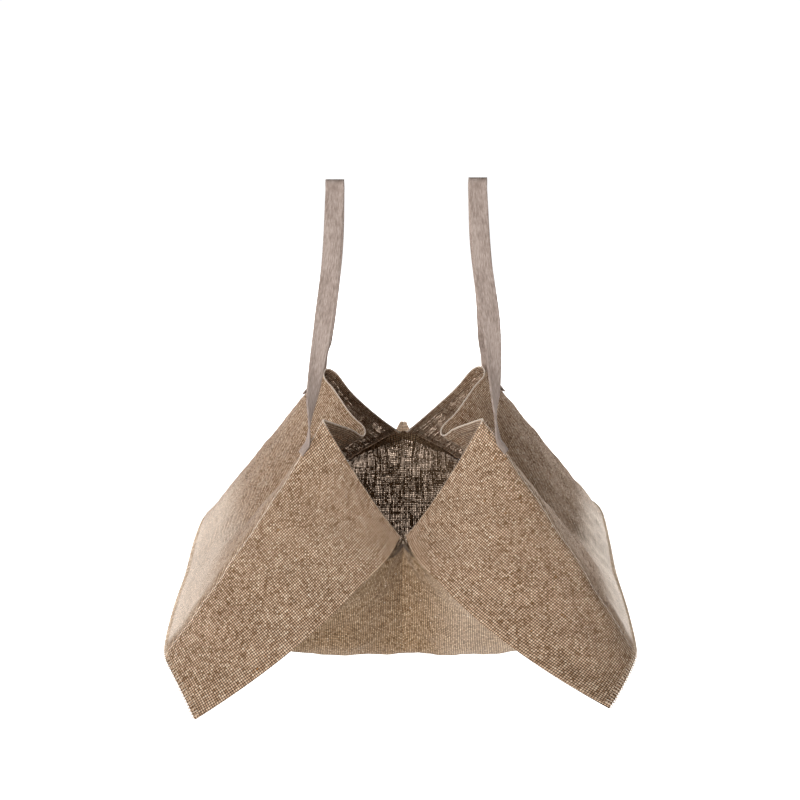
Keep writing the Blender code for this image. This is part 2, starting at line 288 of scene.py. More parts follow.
class FlapShape:
    """The curved face of one flap, read by place and share.

    The folds are rounded over a reach that grows from the rim to the side edge.
    """

    ROUND_PLACES = (0.0, 1.0, 2.0, 3.0, 4.0)
    RIM_ROUNDS = (7.0, 7.0, 12.0, 16.0, 16.0)
    EDGE_ROUNDS = (24.0, 24.0, 34.0, 34.0, 34.0)
    ROUND_SPREAD = 2
    LOOP_FADE = 3
    TUCK = 4.5
    TUCK_SHARE = 0.26
    TUCK_PLACE = 0.3
    ROUND_WEIGHTS = ((-1.0, 1.0), (-0.5, 4.0), (0.0, 6.0), (0.5, 4.0), (1.0, 1.0))
    NORMAL_STEP = 0.02

    def __init__(self, side: Side) -> None:
        """Reads the fold table for one side."""
        self.side = side
        rows = []
        for fold in FOLDS:
            trio = np.array((fold.rim, fold.mid, fold.edge), float)
            if side is Side.RIGHT:
                trio[:, 0] *= -1
                trio += np.array((fold.rim_right, fold.mid_right, fold.edge_right), float)
            rows.append(trio)
        self.net = np.array(rows)
        self.depths = np.array([(fold.depth_rim, fold.depth_edge) for fold in FOLDS], float)
        self.places = np.array(list(FOLD_PLACES.values()))

    def raw(self, place: Array, share: Array) -> Array:
        """Returns points with sharp folds."""
        panel = np.clip(np.floor(place), 0, PANELS - 1).astype(int)
        over = parabola_weights(place - panel)
        along = parabola_weights(share)
        total = np.zeros(np.broadcast(place, share).shape + (3,))
        for step in range(3):
            rows = self.net[2 * panel + step]
            for column in range(3):
                total += (over[step] * along[column])[..., None] * rows[..., column, :]
        return total

    def point(self, place: Array, share: Array) -> Array:
        """Returns points with rounded folds and open rim loops.

        Args:
            place: Places on the flap.
            share: Shares across it.
        """
        rim = np.interp(place, self.ROUND_PLACES, self.RIM_ROUNDS)
        edge = np.interp(place, self.ROUND_PLACES, self.EDGE_ROUNDS)
        reach = rim + (edge - rim) * share**self.ROUND_SPREAD
        width = np.minimum(reach * PLACE_PER_MM, np.minimum(place, PANELS - place))
        total = 0.0
        for offset, weight in self.ROUND_WEIGHTS:
            total = total + self.raw(place + offset * width, share) * weight
        total = total / sum(weight for _, weight in self.ROUND_WEIGHTS)
        for loop in RIM_LOOPS:
            run = (place - loop.place) / PLACE_PER_MM / loop.reach
            swell = np.array(loop.swell) * (-self.side.value, 1, 1)
            strength = run * np.exp(0.5 - 0.5 * run**2) * (1 - share) ** self.LOOP_FADE
            total = total + strength[..., None] * swell
        tuck = np.sin(math.pi * np.clip(share / self.TUCK_SHARE, 0, 1))
        tuck = tuck * (1 - smooth(place, 0.0, self.TUCK_PLACE))
        total[..., 0] -= self.side.value * self.TUCK * tuck
        return total

    def depth(self, place: Array, share: Array) -> Array:
        """Returns how deep a point lies in the flat cloth, from the front hem."""
        rim = np.interp(place, self.places, self.depths[:, 0])
        edge = np.interp(place, self.places, self.depths[:, 1])
        return rim + (edge - rim) * share

    def normal(self, place: Array, share: Array) -> Array:
        """Returns the outward unit normals."""
        step = self.NORMAL_STEP
        low, high = np.maximum(place - step, 0.0), np.minimum(place + step, PANELS)
        near, far = np.maximum(share - step, 0.0), np.minimum(share + step, 1.0)
        over = self.point(high, share) - self.point(low, share)
        along = self.point(place, far) - self.point(place, near)
        return unit(np.cross(over, along)) * -self.side.value

    def edge_place(self, depth: Array) -> Array:
        """Returns the place of the side edge at a cloth depth."""
        return np.interp(depth, self.depths[:, 1], self.places)

    def edge_at(self, depth: Array) -> Array:
        """Returns the point of the side edge at a cloth depth."""
        place = self.edge_place(depth)
        return self.point(place, np.ones_like(place))


class BaseShape:
    """The curved face of the base panel, read by across (-1 to 1) and depth.

    Its hems lap behind the flaps, except towards the wings and in the middle of the front, and
    meet in the middle. The pairs are for the front and the back hem, as shares of the way out.
    """

    LAP_INNER = (0.07, -0.06)
    MEET = (0.1, 0.05)
    LAP_RISE = 0.05
    LAP_OUTER = 0.34
    LAP_FALL = 0.12
    QUARTERS = (0.0, 0.25, 0.5, 0.75, 1.0)
    NORMAL_STEP = 0.01

    def __init__(self, flaps: dict[Side, FlapShape]) -> None:
        """Keeps the flap shapes, whose hems and side edges the base shares."""
        self.flaps = flaps
        self.knots = [0.0] + list(BASE_LINES) + [PANEL_DEPTH]

    def _half(self, side: Side, across: Array, depth: Array) -> Array:
        """Returns points of one half; across runs 0 to 1 outwards."""
        flap = self.flaps[side]
        hems = []
        fall = np.clip((self.LAP_OUTER - across) / self.LAP_FALL, 0, 1) * BASE_LAP * PLACE_PER_MM
        for hem_place, start, meet in zip((0.0, PANELS), self.LAP_INNER, self.MEET):
            lap = fall * np.clip((across - start) / self.LAP_RISE, 0, 1)
            hem = flap.point(np.abs(hem_place - lap), across)
            hem[..., 0] *= np.minimum(across / meet, 1.0)
            hems.append(hem)
        lines = []
        for line_depth, pairs in BASE_LINES.items():
            edge = flap.edge_at(np.array(line_depth, float))
            points = [(edge[0] * knot, *pair) for knot, pair in zip(self.QUARTERS, pairs)]
            lines.append(hermite(self.QUARTERS, np.array(points + [tuple(edge)]), across))
        net = np.stack([hems[0]] + lines + [hems[1]], axis=-2)
        out = hermite(self.knots, net, depth)
        sewn = across >= 1.0
        out[sewn] = flap.edge_at(depth[sewn])
        return out

    def point(self, across: Array, depth: Array) -> Array:
        """Returns points of the base panel."""
        depth = np.clip(depth, 0.0, PANEL_DEPTH)
        left = self._half(Side.LEFT, np.abs(across), depth)
        right = self._half(Side.RIGHT, np.abs(across), depth)
        return np.where((across < 0)[..., None], left, right)

    def normal(self, across: Array, depth: Array) -> Array:
        """Returns the outward unit normals."""
        step = self.NORMAL_STEP
        reach = step * FLAP_WIDTH
        right, left = np.minimum(across + step, 1.0), np.maximum(across - step, -1.0)
        side = self.point(right, depth) - self.point(left, depth)
        deep = self.point(across, depth + reach) - self.point(across, depth - reach)
        return unit(np.cross(deep, side))


# Shader maths


class Channel:
    """A value in a material's node tree that can be used in Python expressions."""

    def __init__(self, book: NodeBook, socket: bpy.types.NodeSocket) -> None:
        """Wraps an output socket."""
        self.book = book
        self.socket = socket

    def maths(self, operation: str, *values: Value) -> Channel:
        """Adds one Math node."""
        return self.book.node("ShaderNodeMath", {"operation": operation}, dict(enumerate(values)))

    def __rsub__(self, other: float) -> Channel:
        """Subtracts from a number."""
        return self.maths("SUBTRACT", other, self)

    def step(self, low: float, high: float) -> Channel:
        """Rises smoothly from 0 at low to 1 at high."""
        settings = {"interpolation_type": "SMOOTHSTEP"}
        inputs = {"Value": self, "From Min": low, "From Max": high}
        return self.book.node("ShaderNodeMapRange", settings, inputs)

    def over(self, other: Channel, share: Channel) -> Channel:
        """Goes over to another value by a share."""
        return self + (other - self) * share

    def off_middle(self) -> Channel:
        """Returns how far a yarn count lies from a yarn's middle, 0 to 1."""
        return (self.fraction() * 2.0 - 1.0).absolute()


Value = Channel | float
MATHS_METHODS = {
    "__add__": "ADD", "__radd__": "ADD", "__sub__": "SUBTRACT", "__mul__": "MULTIPLY",
    "__truediv__": "DIVIDE", "__gt__": "GREATER_THAN", "__pow__": "POWER", "floor": "FLOOR",
    "fraction": "FRACT", "absolute": "ABSOLUTE", "least": "MINIMUM", "most": "MAXIMUM",
}


def maths_method(operation: str) -> Callable[..., Channel]:
    """Returns a method that joins a channel and other values by one Math operation."""
    return lambda channel, *others: channel.maths(operation, channel, *others)


for method, operation in MATHS_METHODS.items():
    setattr(Channel, method, maths_method(operation))


class NodeBook:
    """Adds nodes to one material."""

    def __init__(self, name: str) -> None:
        """Makes an empty material with an output."""
        self.material = bpy.data.materials.new(name)
        self.material.use_nodes = True
        self.tree = self.material.node_tree
        self.tree.nodes.clear()
        self.output = self.tree.nodes.new("ShaderNodeOutputMaterial")

    def node(self, kind: str, settings: dict, inputs: dict, output: int | str = 0) -> Channel:
        """Adds a node.

        Args:
            kind: The node's type.
            settings: Properties of the node, set first.
            inputs: Values or channels by socket name or number.
            output: The socket that is returned.

        Returns:
            The channel of that output.
        """
        item = self.tree.nodes.new(kind)
        for key, value in settings.items():
            setattr(item, key, value)
        for key, value in inputs.items():
            if isinstance(value, Channel):
                self.tree.links.new(value.socket, item.inputs[key])
            else:
                item.inputs[key].default_value = value
        return Channel(self, item.outputs[output])

    def mix(self, share: Value, first: object, second: object) -> Channel:
        """Mixes two colours."""
        settings = {"data_type": "RGBA", "clamp_factor": True}
        return self.node("ShaderNodeMix", settings, {0: share, 6: first, 7: second}, 2)

    def noise(self, at: Channel, scale: float, detail: float = 2.0, rough: float = 0.5) -> Channel:
        """Adds noise from 0 to 1."""
        inputs = {"Vector": at, "Scale": scale, "Detail": detail, "Roughness": rough}
        return self.node("ShaderNodeTexNoise", {"noise_dimensions": "3D"}, inputs)

    def scale(self, tint: Channel, share: Value) -> Channel:
        """Darkens or lightens a colour."""
        return self.node("ShaderNodeVectorMath", {"operation": "SCALE"}, {0: tint, 3: share})

    def vector(self, x: Value, y: Value, z: Value = 0.0) -> Channel:
        """Joins three values."""
        return self.node("ShaderNodeCombineXYZ", {}, {0: x, 1: y, 2: z})

    def uv(self, name: str) -> tuple[Channel, Channel]:
        """Returns the two coordinates of a UV map."""
        place = self.node("ShaderNodeUVMap", {"uv_map": name}, {})
        across = self.node("ShaderNodeSeparateXYZ", {}, {0: place}, 0)
        return across, Channel(self, across.socket.node.outputs[1])

    def surface(self, **inputs: object) -> Material:
        """Adds the main shader and links it to the output.

        Args:
            inputs: Socket values, with underscores for spaces in the names.
        """
        named = {key.replace("_", " "): value for key, value in inputs.items()}
        shader = self.node("ShaderNodeBsdfPrincipled", {}, named)
        self.tree.links.new(shader.socket, self.output.inputs[0])
        return self.material

    def random(self, cell: Channel) -> Channel:
        """Adds a random value for each cell."""
        return self.node("ShaderNodeTexWhiteNoise", {}, {0: cell})

    def bump(self, height: Value, strength: float, distance: float) -> Channel:
        """Turns a height into a normal."""
        inputs = {"Strength": strength, "Distance": distance, "Height": height}
        return self.node("ShaderNodeBump", {}, inputs)

    def open_up(self, share: Channel, tint: Colour) -> Material:
        """Lets tinted light through the main shader.

        Args:
            share: How much comes through, 0 to 1.
            tint: The linear colour of what comes through.
        """
        main = Channel(self, self.output.inputs[0].links[0].from_socket)
        gap = self.node("ShaderNodeBsdfTransparent", {}, {"Color": tint})
        blend = self.node("ShaderNodeMixShader", {}, {0: share, 1: main, 2: gap})
        self.tree.links.new(blend.socket, self.output.inputs[0])
        return self.material


def colour(red: float, green: float, blue: float) -> Colour:
    """Returns an opaque linear colour from display values of 0 to 255."""
    return tuple(((value / 255 + 0.055) / 1.055) ** 2.4 for value in (red, green, blue)) + (1.0,)


@dataclass(frozen=True)
class LinenFinish:
    """Heavy plain-woven natural linen with uneven yarns, slubs and open gaps.

    Colours are display values, and lengths are metres of cloth. The border map says how far a
    point lies in from the nearest hem and from the rim. The map of painted light says how far a
    point lies from the painted highlight line along the front ridge, and how much painted
    brightening it takes. A painted contact shadow darkens the front below the flap hems. openness is
    how wide the gaps are beyond the depth open_from, and clear and veil are how much light comes
    through them and its colour.
    """

    name: str
    pitch_across: float = 0.00225
    pitch_deep: float = 0.0023
    dark: Tint = (122, 91, 64)
    middle: Tint = (180, 150, 124)
    light: Tint = (212, 187, 161)
    slub: Tint = (228, 209, 188)
    rust: Tint = (150, 104, 62)
    # pale is the colour of the painted light on the wings and the ridge line, and of the painted rim
    # highlight.
    pale: Tint = (246, 233, 219)
    crown: float = 1.46
    contact_shadow: float = 0.0
    crease_shade_at: float = 0.0115
    crease_shade_width: float = 0.0012
    ridge_highlight_width: float = 0.0016
    sway: float = 0.6
    rim_highlight: float = 0.72
    openness: float = 0.17
    open_from: float = -0.1
    gap_spread: float = 1.8
    clear: float = 0.65
    veil: Tint = (232, 206, 184)
    painted_brightening: float = 0.75
    sheen: float = 0.08

    def build(self) -> Material:
        """Makes the material from the cloth, border and painted light UV maps."""
        book = NodeBook(self.name)
        across, deep = book.uv("cloth")
        border, rim = book.uv("border")
        ridge, painted_brightening = book.uv("painted_light")
        flat = book.vector(across, deep)
        # The yarns sway a little, and each crossing shows the yarn on top.
        sway = book.noise(flat, 45.0, 1.0) - 0.5
        sway_deep = book.noise(book.vector(deep, across, 7.0), 45.0, 1.0) - 0.5
        warp = across / self.pitch_across + sway * self.sway
        weft = deep / self.pitch_deep + sway_deep * self.sway
        warp_row, weft_row = warp.floor(), weft.floor()
        warp_side, weft_side = warp.off_middle(), weft.off_middle()
        weft_up = ((warp_row + weft_row) * 0.5).fraction() > 0.25
        crown_side, run_side = warp_side.over(weft_side, weft_up), weft_side.over(warp_side, weft_up)
        height = (1.0 - crown_side**2.0) * (1.0 - run_side**2.5 * 0.95)
        # Yarns, patches and crossings differ in tone, and some yarns have slubs and rusty flecks.
        warp_tone = book.noise(book.vector(warp_row * 0.73, deep * 110.0), 1.0, 2.0, 0.6)
        weft_tone = book.noise(book.vector(across * 110.0, weft_row * 0.73, 5.0), 1.0, 2.0, 0.6)
        tone = warp_tone.over(weft_tone, weft_up)
        knot = book.random(book.vector(warp_row, weft_row))
        patch = book.noise(flat, 14.0, 3.0)
        level = (tone - 0.5) * 0.9 + (patch - 0.5) * 0.35 + (knot - 0.5) * 0.6 + 0.5
        base = book.mix(level.step(0.0, 0.55), colour(*self.dark), colour(*self.middle))
        base = book.mix(level.step(0.5, 1.0), base, colour(*self.light))
        streak = book.noise(book.vector(warp_row * 3.7, deep * 70.0, 2.0), 1.0, 1.0)
        thread = book.noise(book.vector(across * 70.0, weft_row * 3.7, 9.0), 1.0, 1.0)
        fleck = streak.over(thread, weft_up)
        base = book.mix(fleck.step(0.72, 0.78) * 0.7, base, colour(*self.slub))
        base = book.mix((1.0 - fleck).step(0.74, 0.80) * 0.7, base, colour(*self.rust))
        # Painted light and shade: the ridge's highlight line, the paled wings, the rim's highlight, the
        # shade in the hem's crease and the shadow below the flap hems. Then the shade between the
        # yarns.
        # Painted highlight: a pale line along the front ridge, where the crease catches the light.
        ridge_highlight = (1.0 - (ridge / self.ridge_highlight_width).absolute().least(1.0)) * 0.5
        # fade is the share of painted light: the paled wings and the ridge highlight.
        fade = (painted_brightening * self.painted_brightening).most(ridge_highlight)
        # Painted highlight: the hem's fold at the rim is paled and lifted towards full brightness.
        edge = (1.0 - rim.step(0.0001, 0.0011)) * self.rim_highlight
        for share in (fade * 0.85, edge):
            base = book.mix(share, base, colour(*self.pale))
        # Painted shade: a dark line along the hem's crease.
        off_crease_shade = ((border - self.crease_shade_at).absolute() / self.crease_shade_width).least(1.0)
        # Painted shadow: the base's front darkens close to its hem, just below the flap hems that lie
        # over it.
        under = (1.0 - border.step(0.0085, 0.0115)) * (1.0 - deep.step(0.1, 0.2)) * self.contact_shadow
        shade = height * self.crown * (1.0 - (1.0 - off_crease_shade) * 0.12) * (1.0 - under)
        # Painted light lifts the shade on the paled wings and along the ridge line.
        shade = shade * (1.0 + fade * 0.3) + fade * 0.17
        shaded = book.scale(base, shade + (1.0 - shade) * edge)
        # Gaps of uneven width stand open where four yarns meet, and some stay shut.
        warp_gap, weft_gap = (warp + 0.5).floor(), (weft + 0.5).floor()
        wide = book.noise(book.vector(warp_gap * 0.61, deep * 24.0, 3.0), 1.0, 2.0)
        high = book.noise(book.vector(across * 24.0, weft_gap * 0.61, 8.0), 1.0, 2.0)
        shut = book.random(book.vector(warp_gap, weft_gap, 4.0)) * 0.35
        closed = (1.0 - deep.step(self.open_from, self.open_from + 0.08)) * 0.8
        slack = book.noise(flat, 30.0, 2.0) * 0.5 - 0.25 + self.openness - shut - closed
        gap_warp = warp_side + ((wide - 0.5) * self.gap_spread + slack) > 0.9
        gap_weft = weft_side + ((high - 0.5) * self.gap_spread + slack) > 0.75
        gap = gap_warp * gap_weft * (border > 0.002)
        bump = book.bump(height + tone * 0.3, 0.6, 0.0007)
        book.surface(Base_Color=shaded, Roughness=0.92, Normal=bump, Specular_IOR_Level=0.1,
                     Sheen_Weight=self.sheen, Sheen_Roughness=0.4)
        return book.open_up(gap * self.clear, colour(*self.veil))


@dataclass(frozen=True)
class TapeFinish:
    """Close-woven greyer linen tape."""

    name: str = "strap_tape"
    pitch: float = 0.0011
    dark: Tint = (138, 121, 111)
    light: Tint = (188, 171, 161)

    def build(self) -> Material:
        """Makes the material from the tape's UV map, x across and y along."""
        book = NodeBook(self.name)
        across, along = book.uv("cloth")
        warp = across / self.pitch
        weft = along / (self.pitch * 0.8)
        run = (weft + warp.floor() * 0.5).off_middle()
        height = (1.0 - warp.off_middle() ** 2.0 * 0.7) * (1.0 - run**2.0 * 0.5)
        tone = book.noise(book.vector(warp.floor() * 0.9, along * 130.0), 1.0, 2.0)
        patch = book.noise(book.vector(across * 60.0, along * 14.0, 4.0), 1.0, 3.0)
        level = (tone - 0.5) * 1.2 + (patch - 0.5) * 0.9 + 0.5
        base = book.mix(level.step(0.1, 0.9), colour(*self.dark), colour(*self.light))
        shaded = book.scale(base, 0.62 + height * 0.42)
        bump = book.bump(height, 0.5, 0.0004)
        return book.surface(Base_Color=shaded, Roughness=0.9, Normal=bump, Specular_IOR_Level=0.2)


@dataclass(frozen=True)
class ThreadFinish:
    """Plain linen sewing thread."""

    name: str = "sewing_thread"
    dark: Tint = (168, 144, 120)
    light: Tint = (226, 208, 188)

    def build(self) -> Material:
        """Makes the material."""
        book = NodeBook(self.name)
        place = book.node("ShaderNodeTexCoord", {}, {}, "Object")
        tone = book.noise(place, 240.0, 2.0)
        base = book.mix(tone.step(0.3, 0.7), colour(*self.dark), colour(*self.light))
        bump = book.bump(book.noise(place, 2600.0), 0.4, 0.0003)
        return book.surface(Base_Color=base, Roughness=0.85, Normal=bump, Specular_IOR_Level=0.2)


# Pieces


def thicken(item: Item, thick: float) -> None:
    """Gives a sheet its thickness, half of it on each side.

    Args:
        item: The sheet.
        thick: The thickness in millimetres.
    """
    bpy.ops.object.select_all(action="DESELECT")
    item.select_set(True)
    bpy.context.view_layer.objects.active = item
    wall = item.modifiers.new("wall", "SOLIDIFY")
    wall.thickness = thick * MM
    wall.offset = 0.0
    bpy.ops.object.modifier_apply(modifier=wall.name)


def cloth_grid(name: str, points: Array, maps: dict[str, Array], finish: Material) -> Item:
    """Lays a grid primitive on a surface.

    Args:
        name: The piece's name.
        points: Rows by columns by 3, in bag millimetres.
        maps: UV maps by name, rows by columns by 2.
        finish: Its material.

    Returns:
        The new piece, smooth and at the origin.
    """
    rows, columns = points.shape[:2]
    bpy.ops.object.select_all(action="DESELECT")
    bpy.ops.mesh.primitive_grid_add(x_subdivisions=columns - 1, y_subdivisions=rows - 1, size=1.0)
    item = bpy.context.active_object
    item.name = name
    mesh = item.data
    mesh.name = name
    mesh.vertices.foreach_set("co", ((points - HANG_POINT) * MM).reshape(-1))
    corners = np.empty(len(mesh.loops), dtype=np.int32)
    mesh.loops.foreach_get("vertex_index", corners)
    for layer in list(mesh.uv_layers):
        mesh.uv_layers.remove(layer)
    for key, values in maps.items():
        layer = mesh.uv_layers.new(name=key)
        layer.data.foreach_set("uv", values.reshape(-1, 2)[corners].astype(np.float32).reshape(-1))
    mesh.shade_smooth()
    mesh.update()
    mesh.materials.append(finish)
    return item


def threads(name: str, paths: Sequence[Array], radius: float, finish: Material, sides: int = 5) -> Item:
    """Makes many short threads as one mesh.

    Args:
        name: The piece's name.
        paths: Each thread's points, in bag millimetres.
        radius: The thread's radius in millimetres.
        finish: Its material.
        sides: Faces around a thread.

    Returns:
        The new piece.
    """
    vertices: list[Array] = []
    faces: list[tuple[int, ...]] = []
    turns = np.arange(sides) * 2 * math.pi / sides
    for path in paths:
        start = sum(len(block) for block in vertices)
        run = unit(np.gradient(path, axis=0))
        first = unit(np.cross(run, (0.31, 0.52, 0.79)))
        second = np.cross(run, first)
        ring = first[:, None] * np.cos(turns)[:, None] + second[:, None] * np.sin(turns)[:, None]
        vertices.append((path[:, None] + ring * radius).reshape(-1, 3))
        for row in range(len(path) - 1):
            for turn in range(sides):
                near, far = start + row * sides + turn, start + row * sides + (turn + 1) % sides
                faces.append((near, far, far + sides, near + sides))
        faces.append(tuple(range(start + sides - 1, start - 1, -1)))
        faces.append(tuple(range(start + (len(path) - 1) * sides, start + len(path) * sides)))
    mesh = bpy.data.meshes.new(name)
    mesh.from_pydata((np.concatenate(vertices) - HANG_POINT) * MM, [], faces)
    mesh.shade_smooth()
    mesh.update()
    mesh.materials.append(finish)
    item = bpy.data.objects.new(name, mesh)
    bpy.context.scene.collection.objects.link(item)
    return item


@dataclass(frozen=True)
class RolledHem:
    """A hem turned under once, as rows beyond a cloth edge."""

    width: float = 11.5
    radius: float = 0.8
    steps: tuple[float, ...] = (0.4, 0.9, 1.5, 2.1, 2.6, 4.5, 8.0, 11.5)

    def rows(self) -> Array:
        """Returns the extra rows as negative distances from the edge."""
        return -np.array(self.steps)[::-1]

    def split(self, distance: Array) -> tuple[Array, Array, Array]:
        """Splits distances into the place on the cloth, the bulge past the edge and the drop.

        Args:
            distance: Millimetres in from the edge, negative on the part turned under.

        Returns:
            The three lengths.
        """
        turned = np.maximum(-distance, 0.0)
        arc = math.pi * self.radius
        angle = np.minimum(turned / self.radius, math.pi)
        inside = np.where(distance >= 0, distance, np.maximum(turned - arc, 0.0))
        return inside, self.radius * np.sin(angle), self.radius * (1 - np.cos(angle))

    def down(self, rows: int) -> Array:
        """Returns a panel's rows from front to back, with the turned ones at both ends."""
        front = self.rows()
        return np.concatenate((front, np.linspace(0, PANEL_DEPTH, rows), PANEL_DEPTH - front[::-1]))

    def ends(self, deep: Array) -> tuple[Array, ...]:
        """Splits rows at the nearer hem.

        Args:
            deep: Distances from the front hem.

        Returns:
            -1 at the front and 1 at the back, the depth on the cloth, the distance in from that
            hem, the bulge past it and the drop.
        """
        end = np.where(deep < PANEL_DEPTH / 2, -1.0, 1.0)
        inside, bulge, drop = self.split(np.minimum(deep, PANEL_DEPTH - deep))
        return end, np.where(end < 0, inside, PANEL_DEPTH - inside), inside, bulge, drop


def stillness(inside: Array, from_edge: Array) -> Array:
    """Lets the ripples fade out towards the hems and the sewn side edges."""
    return np.clip(inside / 25.0, 0, 1) * np.clip(from_edge / 20.0, 0, 1)


@dataclass(frozen=True)
class PaintedBrightening:
    """How much painted light pales a flap's wing, standing in for light through it, and from where to
    where this grows.
    """

    strength: float
    low: float
    high: float
    rise: Span = (1.02, 1.15)
    fall: Span = (2.6, 3.2)

    def grid(self, share: Array, place: Array) -> Array:
        """Returns how much paler the flap is at each share and place."""
        outer = smooth(share, self.low, self.high) + 0.3 * smooth(share, 0.88, 1.0)
        return outer * smooth(place, *self.rise) * (1 - smooth(place, *self.fall)) * self.strength


@dataclass
class FlapCloth:
    """One flap as a thin sheet with turned hems at its rim, front and back.

    The insets thin the painted highlight along the rim on the front panel and elsewhere. The painted
    highlight line along the front ridge leaves the ridge towards the side edge.
    """

    side: Side
    shape: FlapShape
    finish: Material
    painted_brightening: PaintedBrightening
    columns: int = 126
    rows: int = 240
    hem: RolledHem = RolledHem()
    clearance: float = 0.3
    still_rim: float = 15.0
    rim_ripple: float = 0.2
    rim_insets: Span = (0.7, 0.3)
    rim_change: float = 0.97
    ridge_highlight_drift: float = 2.0
    ridge_highlight_leave: Span = (0.55, 0.8)
    rim_step: float = 0.01
    hem_step: float = 0.02

    def build(self) -> Item:
        in_rim = np.concatenate((self.hem.rows(), np.linspace(0, FLAP_WIDTH, self.columns)))
        across, deep = np.meshgrid(in_rim, self.hem.down(self.rows))
        inside_u, bulge_u, drop_u = self.hem.split(across)
        end, on_cloth, inside_v, bulge_v, drop_v = self.hem.ends(deep)
        place, share = on_cloth * PLACE_PER_MM, inside_u / FLAP_WIDTH
        depth = self.shape.depth(place, share)
        still = stillness(inside_v, FLAP_WIDTH - inside_u)
        still = still * np.clip(inside_u / self.still_rim, self.rim_ripple, 1)
        lap = np.maximum(0.0, 1.0 - inside_v / HEM_LAP)
        lift = SEAM_GAP + (CLOTH_THICK + SEAM_GAP) * lap + CLOTH_THICK / 2 + self.clearance
        lift = lift + ripple(inside_u * self.side.value, depth) * still - drop_u - drop_v
        near = np.maximum(share - self.rim_step, 0.0)
        rim_way = unit(self.shape.point(place, near) - self.shape.point(place, near + self.rim_step))
        anchor = np.clip(place, self.hem_step, PANELS - self.hem_step)
        past = self.shape.point(anchor + end * self.hem_step, share)
        hem_way = unit(past - self.shape.point(anchor, share))
        points = self.shape.point(place, share) + self.shape.normal(place, share) * lift[..., None]
        points = points + rim_way * bulge_u[..., None] + hem_way * bulge_v[..., None]
        cloth = np.stack((across * self.side.value, np.where(deep < 0, deep, depth)), axis=-1) * MM
        rim = inside_u + np.where(place < self.rim_change, *self.rim_insets)
        border = np.stack((np.minimum(inside_u, inside_v), rim), axis=-1) * MM
        # Painted light: how far from the highlight line on the front ridge, and how much the wing is
        # paled in.
        ridge = (place - FRONT_RIDGE) / PLACE_PER_MM + self.ridge_highlight_drift * smooth(share, *self.ridge_highlight_leave)
        painted_light = np.stack((ridge * MM, self.painted_brightening.grid(share, place)), axis=-1)
        if self.side is Side.LEFT:
            points, cloth, border, painted_light = (grid[:, ::-1] for grid in (points, cloth, border, painted_light))
        name = f"{self.side.name.lower()}_flap_cloth"
        item = cloth_grid(name, points, {"cloth": cloth, "border": border, "painted_light": painted_light}, self.finish)
        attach(item, "root")
        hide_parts(f"{self.side.name.lower()}_flap")
        return item


@dataclass
class BaseCloth:
    """The base panel as a thin sheet with turned front and back hems.

    Its front is paler to the right of the middle: painted light, standing in for light through it.
    """

    shape: BaseShape
    finish: Material
    painted_brightening: float = 0.24
    pale_rise: Span = (0.06, 0.3)
    pale_fall: Span = (0.55, 0.8)
    pale_depth: Span = (130.0, 190.0)
    columns: int = 241
    rows: int = 236
    hem: RolledHem = RolledHem()
    hem_step: float = 2.0
    ripple_shift: float = 31.0

    def build(self) -> Item:
        across, deep = np.meshgrid(np.linspace(1, -1, self.columns), self.hem.down(self.rows))
        end, depth, inside, bulge, drop = self.hem.ends(deep)
        anchor = np.clip(depth, self.hem_step, PANEL_DEPTH - self.hem_step)
        past = self.shape.point(across, anchor + end * self.hem_step)
        way = unit(past - self.shape.point(across, anchor))
        still = stillness(inside, (1 - np.abs(across)) * FLAP_WIDTH)
        waves = ripple(across * FLAP_WIDTH + self.ripple_shift, depth)
        lift = CLOTH_THICK / 2 + waves * still - drop
        points = self.shape.point(across, depth) + self.shape.normal(across, depth) * lift[..., None]
        points = points + way * bulge[..., None]
        cloth = np.stack((across * FLAP_WIDTH, deep), axis=-1) * MM
        border = np.stack((inside, np.full_like(inside, 100.0)), axis=-1) * MM
        # Painted light: a paler patch to the right of the middle of the front.
        pale = smooth(across, *self.pale_rise) * (1 - smooth(across, *self.pale_fall))
        pale = pale * (1 - smooth(deep, *self.pale_depth)) * self.painted_brightening
        painted_light = np.stack((np.ones_like(inside), pale), axis=-1)
        maps = {"cloth": cloth, "border": border, "painted_light": painted_light}
        item = cloth_grid("base_cloth", points, maps, self.finish)
        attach(item, "root")
        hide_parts("base_panel")
        return item


